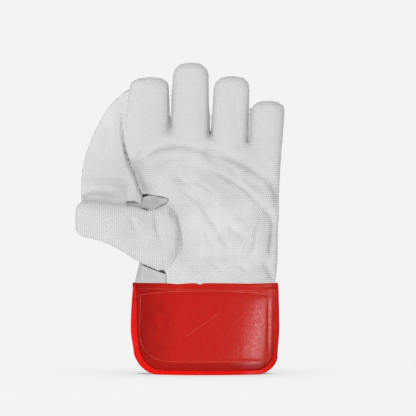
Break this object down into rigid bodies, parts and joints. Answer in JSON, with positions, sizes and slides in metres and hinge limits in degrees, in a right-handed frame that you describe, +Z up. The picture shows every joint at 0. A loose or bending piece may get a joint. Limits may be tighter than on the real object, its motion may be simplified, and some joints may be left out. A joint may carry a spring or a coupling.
{
  "type": "wicketkeeping glove",
  "caption": "Left-hand cricket wicketkeeping glove with a pimpled rubber palm, webbed thumb and padded red leather cuff, standing upright on the cuff.",
  "frame": {"origin": "middle of the foot of the glove's bounding box, on the surface that it stands on", "axes": "+Z up from the cuff's foot towards the fingertips, the palm faces -Y, the thumb points to -X"},
  "size_m": [0.208, 0.0948, 0.3115],
  "materials": {
    "pimpled_rubber": "matt white, moulded pimples",
    "white_leather": "satin white, fine grain",
    "grey_leather": "satin light grey",
    "red_leather": "glossy red, padded",
    "red_binding": "semi-gloss bright red"
  },
  "bodies": {
    "root": {"palm_facing": "pimpled_rubber", "thumb_facing": "pimpled_rubber", "web_facing": "pimpled_rubber", "hand_back": "white_leather", "index_back": "white_leather", "middle_back": "white_leather", "ring_back": "white_leather", "little_back": "white_leather", "thumb_back": "white_leather", "wrist_side": "white_leather", "crotch_gusset": "grey_leather", "web_back": "grey_leather", "cuff_band": "red_leather", "cuff_front_panel": "red_leather", "cuff_back_panel": "red_leather", "cuff_front_binding": "red_binding", "cuff_back_binding": "red_binding"}
  },
  "joints": []
}
